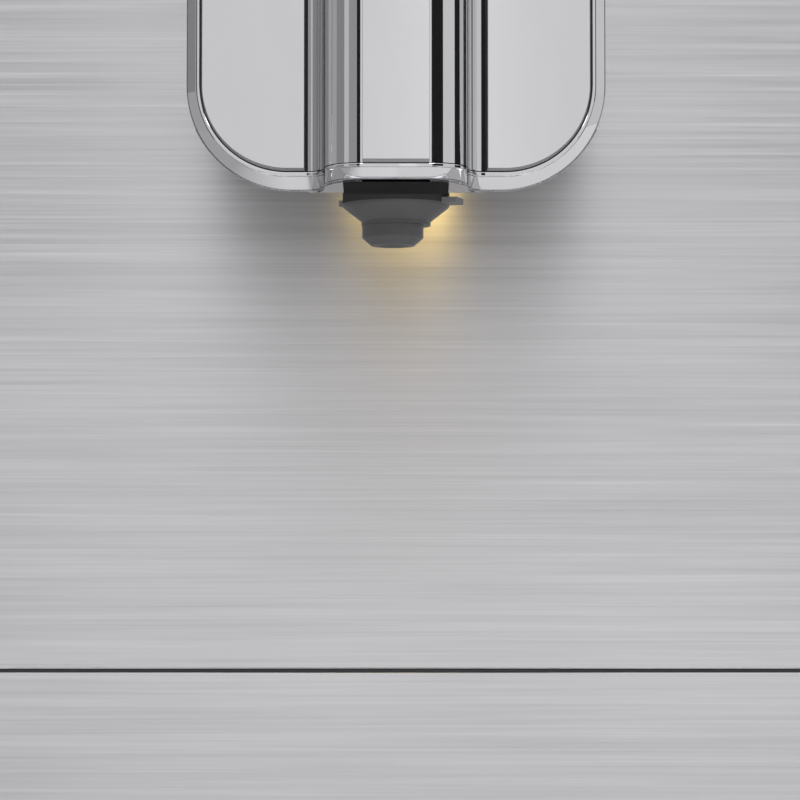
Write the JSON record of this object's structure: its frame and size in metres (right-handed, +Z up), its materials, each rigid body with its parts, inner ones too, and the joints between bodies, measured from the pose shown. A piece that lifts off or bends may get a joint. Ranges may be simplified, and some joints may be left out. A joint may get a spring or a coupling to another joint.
{
  "type": "bean to cup coffee machine",
  "caption": "Countertop bean to cup coffee machine with a brushed steel front, a chromed spout that slides up and down, drip tray, grounds drawer, bean hopper, water tank and brewing unit.",
  "frame": {"origin": "middle of the footprint, on the surface that the machine stands on", "axes": "+X to the right of someone who faces the front, +Y from front to back, +Z up; the front faces -Y"},
  "size_m": [0.28, 0.44, 0.375],
  "materials": {
    "black_plastic": "fine grained moulded black",
    "gloss_black": "piano black",
    "dark_grey_plastic": "satin dark grey",
    "silver_plastic": "satin silver",
    "brushed_steel": "horizontal brushed grain",
    "chrome": "polished",
    "satin_steel": "fine satin",
    "bright_steel": "turned steel",
    "aluminium": "cast and blasted",
    "rubber": "matt black",
    "red_plastic": "bright red",
    "clear_smoke": "smoke tinted, clear",
    "white_plastic": "natural white",
    "circuit_green": "solder mask",
    "brass": "turned",
    "warm_lens": "lit warm lens"
  },
  "bodies": {
    "housing": {"base_frame": "black_plastic", "bean_hopper": "clear_smoke", "boiler": "aluminium", "brew_frame": "dark_grey_plastic", "brew_motor": "bright_steel", "brew_piston": "white_plastic", "control_board": "circuit_green", "control_fascia": "gloss_black", "cup_tray": "brushed_steel", "display_window": "gloss_black", "front_panel": "brushed_steel", "gearbox": "dark_grey_plastic", "grinder_housing": "dark_grey_plastic", "grinder_motor": "bright_steel", "grounds_chute": "black_plastic", "inner_frame": "dark_grey_plastic", "left_side_panel": "black_plastic", "mains_inlet": "black_plastic", "piston_seal": "rubber", "power_board": "circuit_green", "preground_chute": "black_plastic", "pump": "brass", "pump_cradle": "rubber", "rear_cover": "black_plastic", "right_side_panel": "black_plastic", "spout_rail": "bright_steel", "top_deck": "black_plastic", "upper_burr": "bright_steel"},
    "drip_tray": {"drip_tray": "black_plastic", "tray_trim": "brushed_steel"},
    "drip_grid": {"drip_grid": "brushed_steel"},
    "float_indicator": {"float_indicator": "red_plastic"},
    "grounds_drawer": {"grounds_drawer": "dark_grey_plastic", "drawer_front": "brushed_steel"},
    "service_door": {"service_door": "black_plastic"},
    "power_switch": {"power_switch": "dark_grey_plastic"},
    "button_power": {"button_power": "silver_plastic"},
    "button_strength": {"button_strength": "silver_plastic"},
    "button_one_cup": {"button_one_cup": "silver_plastic"},
    "button_two_cups": {"button_two_cups": "silver_plastic"},
    "selector_knob": {"selector_knob": "chrome"},
    "hopper_lid": {"hopper_lid": "clear_smoke"},
    "preground_lid": {"preground_lid": "black_plastic"},
    "grind_dial": {"grind_dial": "silver_plastic"},
    "water_tank": {"water_tank": "clear_smoke", "tank_valve": "white_plastic"},
    "tank_lid": {"tank_lid": "black_plastic"},
    "burr_rotor": {"lower_burr": "bright_steel", "burr_gear": "white_plastic"},
    "motor_rotor": {"motor_pinion": "brass"},
    "brew_chamber": {"brew_chamber": "white_plastic"},
    "brew_spindle": {"brew_spindle": "bright_steel"},
    "spout": {"spout_carriage": "black_plastic", "spout_shell": "chrome", "spout_inlay_left": "satin_steel", "spout_inlay_right": "satin_steel", "spout_pilaster": "chrome", "spout_plate": "satin_steel", "nozzle": "dark_grey_plastic", "cup_light": "warm_lens"}
  },
  "joints": [
    {"name": "spout_height", "type": "slide", "parent": "housing", "child": "spout", "axis": [0, 0, 1], "range_m": [-0.06, 0.005]},
    {"name": "drip_tray_slide", "type": "slide", "parent": "housing", "child": "drip_tray", "axis": [0, -1, 0], "range_m": [0, 0.26]},
    {"name": "drip_grid_lift", "type": "slide", "parent": "drip_tray", "child": "drip_grid", "axis": [0, 0, 1], "range_m": [0, 0.03]},
    {"name": "float_rise", "type": "slide", "parent": "drip_tray", "child": "float_indicator", "axis": [0, 0, 1], "range_m": [0, 0.008]},
    {"name": "grounds_drawer_slide", "type": "slide", "parent": "housing", "child": "grounds_drawer", "axis": [0, -1, 0], "range_m": [0, 0.145]},
    {"name": "water_tank_lift", "type": "slide", "parent": "housing", "child": "water_tank", "axis": [0, 0, 1], "range_m": [0, 0.35]},
    {"name": "tank_lid_hinge", "type": "hinge", "parent": "water_tank", "child": "tank_lid", "pos_m": [-0.08, 0.2144, 0.3645], "axis": [-1, 0, 0], "range_deg": [0, 100]},
    {"name": "hopper_lid_hinge", "type": "hinge", "parent": "housing", "child": "hopper_lid", "pos_m": [-0.03, 0.0676, 0.3724], "axis": [-1, 0, 0], "range_deg": [0, 100]},
    {"name": "preground_lid_hinge", "type": "hinge", "parent": "housing", "child": "preground_lid", "pos_m": [0.056, 0.0216, 0.3724], "axis": [-1, 0, 0], "range_deg": [0, 100]},
    {"name": "service_door_hinge", "type": "hinge", "parent": "housing", "child": "service_door", "pos_m": [0.1374, 0.056, 0.18], "axis": [0, 0, 1], "range_deg": [0, 95]},
    {"name": "grind_dial_turn", "type": "hinge", "parent": "housing", "child": "grind_dial", "pos_m": [-0.11, 0.004, 0.3672], "axis": [0, 0, 1], "range_deg": [-135, 135]},
    {"name": "burr_spin", "type": "hinge", "parent": "housing", "child": "burr_rotor", "pos_m": [-0.03, 0.004, 0.2501], "axis": [0, 0, 1], "continuous": true},
    {"name": "motor_spin", "type": "hinge", "parent": "housing", "child": "motor_rotor", "pos_m": [-0.03, -0.02745, 0.2501], "axis": [0, 0, 1], "continuous": true},
    {"name": "selector_turn", "type": "hinge", "parent": "housing", "child": "selector_knob", "pos_m": [0.105, -0.081, 0.3296], "axis": [0, -0.965, 0.2624], "continuous": true},
    {"name": "button_power_push", "type": "slide", "parent": "housing", "child": "button_power", "axis": [0, 0.965, -0.2624], "range_m": [0, 0.0008], "stiffness_N_per_m": 500},
    {"name": "button_strength_push", "type": "slide", "parent": "housing", "child": "button_strength", "axis": [0, 0.965, -0.2624], "range_m": [0, 0.0008], "stiffness_N_per_m": 500},
    {"name": "button_one_cup_push", "type": "slide", "parent": "housing", "child": "button_one_cup", "axis": [0, 0.965, -0.2624], "range_m": [0, 0.0008], "stiffness_N_per_m": 500},
    {"name": "button_two_cups_push", "type": "slide", "parent": "housing", "child": "button_two_cups", "axis": [0, 0.965, -0.2624], "range_m": [0, 0.0008], "stiffness_N_per_m": 500},
    {"name": "power_switch_rock", "type": "hinge", "parent": "housing", "child": "power_switch", "pos_m": [0.05, 0.214, 0.05], "axis": [0, 0, 1], "range_deg": [0, 8]},
    {"name": "brew_chamber_lift", "type": "slide", "parent": "housing", "child": "brew_chamber", "axis": [0, 0, 1], "range_m": [0, 0.044]},
    {"name": "brew_spindle_turn", "type": "hinge", "parent": "housing", "child": "brew_spindle", "pos_m": [0.082, 0.042, 0.1343], "axis": [0, 0, 1], "range_deg": [0, 1981]}
  ],
  "couplings": [
    {"joint": "motor_spin", "follows": "burr_spin", "ratio": -2.5714},
    {"joint": "brew_spindle_turn", "follows": "brew_chamber_lift", "rad_per_m": 785.4}
  ]
}
